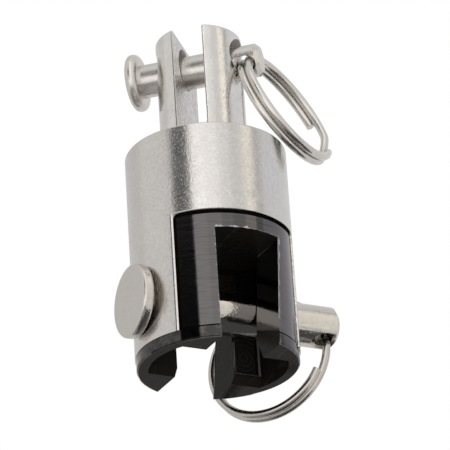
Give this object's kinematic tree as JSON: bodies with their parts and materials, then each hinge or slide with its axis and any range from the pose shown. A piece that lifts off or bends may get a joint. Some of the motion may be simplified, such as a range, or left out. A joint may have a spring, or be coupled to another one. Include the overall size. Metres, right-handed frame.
{
  "type": "top swivel",
  "caption": "Headsail top swivel: slotted fork with a clevis pin, turning on a thrust ball bearing in a cut-away steel housing with a black insert and a cross pin.",
  "frame": {"origin": "centre of the fork's pin hole, on the swivel's turning axis", "axes": "+Z along the turning axis, upwards to the halyard; +X along the fork's pin, towards its split ring"},
  "size_m": [0.0384, 0.0371, 0.0721],
  "materials": {
    "fork_steel": "turned and satin polished",
    "housing_steel": "turned, fine brushed along the edge, a few scratches",
    "pin_steel": "turned, lightly polished",
    "ring_steel": "bright drawn wire",
    "insert_plastic": "black acetal, turned outside, glossy milled faces",
    "inner_steel": "plain",
    "race_steel": "ground",
    "ball_steel": "polished",
    "cage_brass": "plain",
    "bush_plastic": "plain",
    "seal_rubber": "matt"
  },
  "bodies": {
    "fork_side": {"top_fork": "fork_steel", "castle_nut": "inner_steel", "cotter_pin": "inner_steel", "plain_washer": "inner_steel", "lower_race": "race_steel"},
    "ball_set": {"ball_cage": "cage_brass", "thrust_ball_01": "ball_steel", "thrust_ball_02": "ball_steel", "thrust_ball_03": "ball_steel", "thrust_ball_04": "ball_steel", "thrust_ball_05": "ball_steel", "thrust_ball_06": "ball_steel", "thrust_ball_07": "ball_steel", "thrust_ball_08": "ball_steel", "thrust_ball_09": "ball_steel", "thrust_ball_10": "ball_steel", "thrust_ball_11": "ball_steel", "thrust_ball_12": "ball_steel"},
    "swivel_body": {"swivel_housing": "housing_steel", "plate_bush": "bush_plastic", "seal_ring": "seal_rubber", "upper_race": "race_steel", "luff_insert": "insert_plastic"},
    "upper_pin": {"upper_clevis_pin": "pin_steel"},
    "upper_ring": {"upper_split_ring": "ring_steel"},
    "lower_pin": {"lower_clevis_pin": "pin_steel"},
    "lower_ring": {"lower_split_ring": "ring_steel"}
  },
  "joints": [
    {"name": "swivel_turn", "type": "hinge", "parent": "fork_side", "child": "swivel_body", "pos_m": [0, 0, -0.03], "axis": [0, 0, 1], "continuous": true},
    {"name": "ball_set_roll", "type": "hinge", "parent": "fork_side", "child": "ball_set", "pos_m": [0, 0, -0.026], "axis": [0, 0, 1], "continuous": true},
    {"name": "upper_pin_slide", "type": "slide", "parent": "fork_side", "child": "upper_pin", "axis": [1, 0, 0], "range_m": [0, 0.003]},
    {"name": "upper_ring_swing", "type": "hinge", "parent": "upper_pin", "child": "upper_ring", "pos_m": [0.0094, 0, -0.00081], "axis": [0, -0.8192, -0.5736], "range_deg": [-1, 190]},
    {"name": "lower_pin_slide", "type": "slide", "parent": "swivel_body", "child": "lower_pin", "axis": [0.7373, 0.6756, 0], "range_m": [-0.0024, 0]},
    {"name": "lower_ring_swing", "type": "hinge", "parent": "lower_pin", "child": "lower_ring", "pos_m": [0.01585, 0.01453, -0.05065], "axis": [0.2311, -0.2522, -0.9397], "range_deg": [0, 235]}
  ],
  "couplings": [
    {"joint": "ball_set_roll", "follows": "swivel_turn", "ratio": 0.5}
  ]
}
